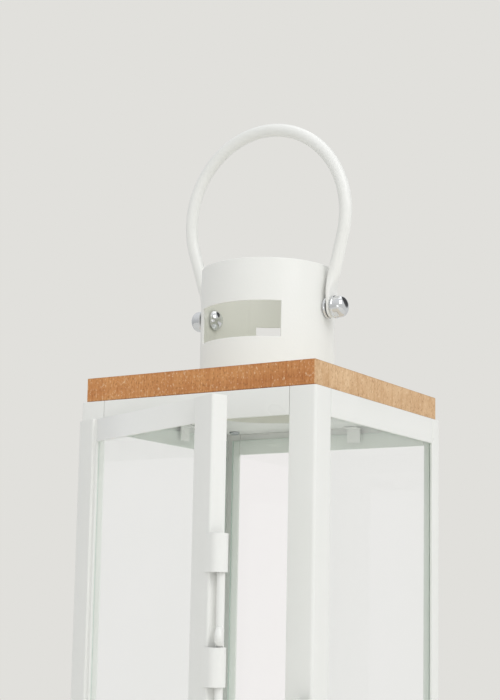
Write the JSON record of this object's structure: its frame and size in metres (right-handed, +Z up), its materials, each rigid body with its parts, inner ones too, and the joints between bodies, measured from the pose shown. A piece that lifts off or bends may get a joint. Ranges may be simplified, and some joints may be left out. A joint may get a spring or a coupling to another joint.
{
  "type": "candle lantern",
  "caption": "Square white steel candle lantern with a timber top, vented chimney, swinging bail handle and a glazed hinged door with a sliding wire latch.",
  "frame": {"origin": "centre of the base, on the surface that the lantern stands on", "axes": "+Z up along the chimney's axis; +X to the right, along the bail's pivot; the door side faces -Y"},
  "size_m": [0.1541, 0.2217, 0.4592],
  "materials": {
    "white_steel": "satin white powder coat",
    "timber": "stained softwood, sawn face, unvarnished",
    "chrome": "bright plated",
    "glass": "clear float glass with a faint green edge",
    "zinc_steel": "zinc plated"
  },
  "bodies": {
    "frame": {"corner_post_back_right": "white_steel", "corner_post_back_left": "white_steel", "corner_post_front_left": "white_steel", "corner_post_front_right": "white_steel", "top_rail_right": "white_steel", "top_rail_back": "white_steel", "top_rail_left": "white_steel", "top_rail_front": "white_steel", "bottom_rail_right": "white_steel", "bottom_rail_back": "white_steel", "bottom_rail_left": "white_steel", "bottom_rail_front": "white_steel", "base_plate": "white_steel", "ceiling_plate": "white_steel", "timber_top": "timber", "chimney": "white_steel", "board_screw_1": "zinc_steel", "board_screw_2": "zinc_steel", "board_screw_3": "zinc_steel", "board_screw_4": "zinc_steel", "pivot_bolt_right": "chrome", "pivot_washer_right": "chrome", "cap_nut_right": "chrome", "pivot_bolt_left": "chrome", "pivot_washer_left": "chrome", "cap_nut_left": "chrome", "pane_right": "glass", "pane_clip_right_a": "white_steel", "pane_clip_right_b": "white_steel", "pane_clip_right_base": "white_steel", "pane_back": "glass", "pane_clip_back_a": "white_steel", "pane_clip_back_b": "white_steel", "pane_clip_back_base": "white_steel", "pane_left": "glass", "pane_clip_left_a": "white_steel", "pane_clip_left_b": "white_steel", "pane_clip_left_base": "white_steel", "hinge_lower_frame": "white_steel", "hinge_pin_lower": "zinc_steel", "hinge_upper_frame": "white_steel", "hinge_pin_upper": "zinc_steel", "latch_keeper": "white_steel"},
    "door": {"hinge_lower_door": "white_steel", "hinge_upper_door": "white_steel", "door_stile_hinge": "white_steel", "door_stile_free": "white_steel", "door_rail_top": "white_steel", "door_rail_bottom": "white_steel", "door_pane": "glass", "door_clip_top_left": "white_steel", "door_clip_top_right": "white_steel", "door_clip_bottom_left": "white_steel", "door_clip_bottom_right": "white_steel", "latch_sleeve_upper": "white_steel", "latch_sleeve_lower": "white_steel"},
    "latch_bolt": {"latch_bolt": "white_steel"},
    "bail": {"bail": "white_steel"}
  },
  "joints": [
    {"name": "door_swing", "type": "hinge", "parent": "frame", "child": "door", "pos_m": [-0.0668, -0.081, 0.143], "axis": [0, 0, -1], "range_deg": [-23.5, 76.5]},
    {"name": "latch_slide", "type": "slide", "parent": "door", "child": "latch_bolt", "axis": [0, 0, 1], "range_m": [0, 0.025]},
    {"name": "bail_swing", "type": "hinge", "parent": "frame", "child": "bail", "pos_m": [0, 0, 0.3447], "axis": [1, 0, 0], "range_deg": [-121, 113]}
  ]
}
